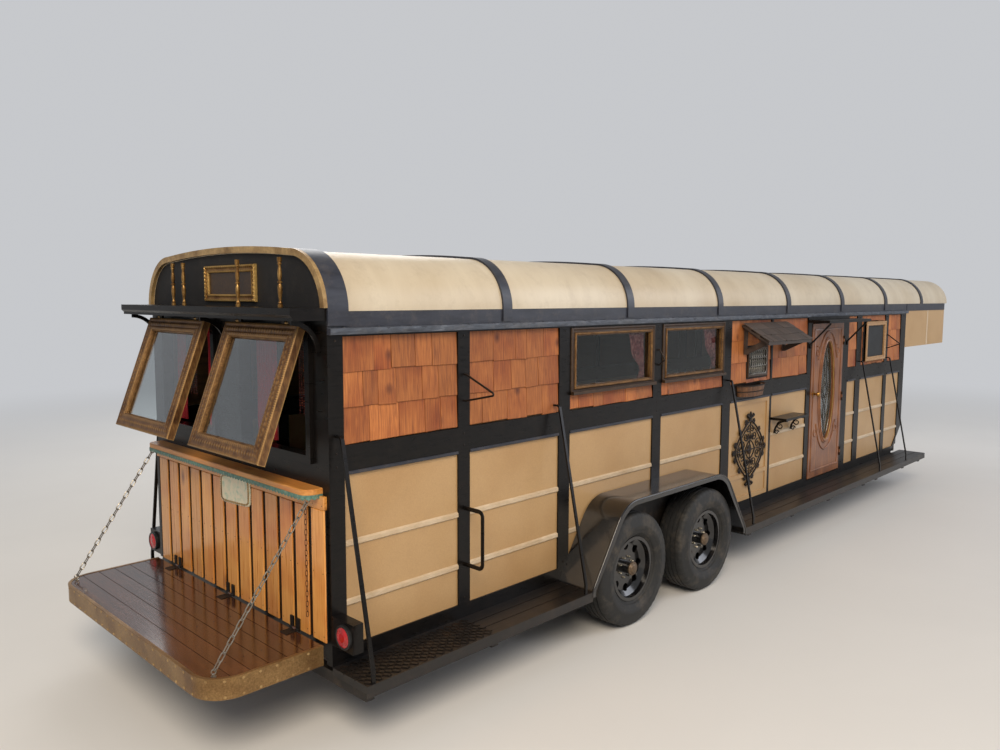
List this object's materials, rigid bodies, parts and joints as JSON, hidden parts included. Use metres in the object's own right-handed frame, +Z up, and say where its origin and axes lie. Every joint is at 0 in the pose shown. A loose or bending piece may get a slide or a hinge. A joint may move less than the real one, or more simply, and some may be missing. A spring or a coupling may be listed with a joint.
{
  "type": "vardo wagon",
  "caption": "Long gooseneck trailer wagon with arched roof, shingled and panelled sides, running boards, rear awning windows over a counter and a chained folding deck.",
  "frame": {"origin": "on the ground, at the middle of the bounding box's footprint", "axes": "+X forward to the towing vehicle, +Y to the left, +Z up"},
  "size_m": [10.44, 2.58, 2.5073],
  "materials": {
    "black_steel": "black chassis paint, road dust",
    "tread_steel": "dark painted steel, worn",
    "fender_steel": "dark blue-black paint",
    "frame_paint": "charcoal paint, satin",
    "tan_panel": "tan paint, satin",
    "cedar": "weathered cedar shingles",
    "gilt_wood": "carved wood with worn gilding",
    "dark_wood": "dark stained wood",
    "slat_wood": "stained boards, satin",
    "honey_wood": "honey varnish, glossy",
    "door_wood": "stained wood, satin",
    "deck_boards": "dark boards, satin",
    "roof_skin": "cream paint, weathered",
    "bronze": "bronzed steel band",
    "iron": "wrought iron, satin",
    "brass": "brass, worn",
    "glass": "clear pane",
    "red_lens": "red lens",
    "red_fabric": "woven curtain",
    "wheel_paint": "black gloss paint",
    "tyre": "black rubber"
  },
  "bodies": {
    "wagon": {"arch_trim": "bronze", "axles": "black_steel", "canopy": "gilt_wood", "chassis_frame": "black_steel", "counter": "honey_wood", "coupler": "black_steel", "curtain_rods": "iron", "curtains": "red_fabric", "deck_chains": "iron", "door_hood": "dark_wood", "drip_rails": "frame_paint", "fenders": "fender_steel", "floor": "deck_boards", "front_shelf": "dark_wood", "front_wall": "tan_panel", "gable_board": "dark_wood", "gable_ornament": "gilt_wood", "gooseneck": "black_steel", "hinges": "iron", "lamp_boxes": "black_steel", "landing_jacks": "black_steel", "lower_panels": "tan_panel", "medallion": "iron", "nose_gable": "tan_panel", "nose_shell": "tan_panel", "planter": "dark_wood", "rear_wall": "dark_wood", "roof_bows": "frame_paint", "roof_shell": "roof_skin", "running_boards": "tread_steel", "shingle_panels": "cedar", "side_awning": "cedar", "side_frame_left": "frame_paint", "side_frame_right": "frame_paint", "side_glass": "glass", "side_hatch": "tan_panel", "side_windows": "gilt_wood", "sign_board": "gilt_wood", "slat_wall": "slat_wood", "stay_rods": "iron", "tail_lamps": "red_lens", "upper_panels": "tan_panel"},
    "wheel_right_rear": {"wheel_right_rear": "wheel_paint", "tyre_right_rear": "tyre"},
    "wheel_right_front": {"wheel_right_front": "wheel_paint", "tyre_right_front": "tyre"},
    "wheel_left_rear": {"wheel_left_rear": "wheel_paint", "tyre_left_rear": "tyre"},
    "wheel_left_front": {"wheel_left_front": "wheel_paint", "tyre_left_front": "tyre"},
    "entry_door": {"entry_door": "door_wood", "door_glass": "glass", "door_knob": "brass"},
    "awning_window_right": {"awning_frame_right": "gilt_wood", "awning_glass_right": "glass"},
    "awning_window_left": {"awning_frame_left": "gilt_wood", "awning_glass_left": "glass"},
    "rear_deck": {"rear_deck": "deck_boards", "deck_band": "bronze"}
  },
  "joints": [
    {"name": "wheel_right_rear_spin", "type": "hinge", "parent": "wagon", "child": "wheel_right_rear", "pos_m": [-2.31, -1.1425, 0.391], "axis": [0, 1, 0], "continuous": true},
    {"name": "wheel_right_front_spin", "type": "hinge", "parent": "wagon", "child": "wheel_right_front", "pos_m": [-1.36, -1.1425, 0.391], "axis": [0, 1, 0], "continuous": true},
    {"name": "wheel_left_rear_spin", "type": "hinge", "parent": "wagon", "child": "wheel_left_rear", "pos_m": [-2.31, 1.1425, 0.391], "axis": [0, 1, 0], "continuous": true},
    {"name": "wheel_left_front_spin", "type": "hinge", "parent": "wagon", "child": "wheel_left_front", "pos_m": [-1.36, 1.1425, 0.391], "axis": [0, 1, 0], "continuous": true},
    {"name": "entry_door_swing", "type": "hinge", "parent": "wagon", "child": "entry_door", "pos_m": [1.7375, -1.012, 1.23], "axis": [0, 0, 1], "range_deg": [0, 90]},
    {"name": "awning_right_lift", "type": "hinge", "parent": "wagon", "child": "awning_window_right", "pos_m": [-4.643, -0.5, 2.103], "axis": [0, 1, 0], "range_deg": [-20, 50]},
    {"name": "awning_left_lift", "type": "hinge", "parent": "wagon", "child": "awning_window_left", "pos_m": [-4.643, 0.5, 2.103], "axis": [0, 1, 0], "range_deg": [-20, 50]},
    {"name": "deck_fold", "type": "hinge", "parent": "wagon", "child": "rear_deck", "pos_m": [-4.61, 0, 0.507], "axis": [0, 1, 0], "range_deg": [0, 90], "deforming": ["deck_chains"]}
  ]
}
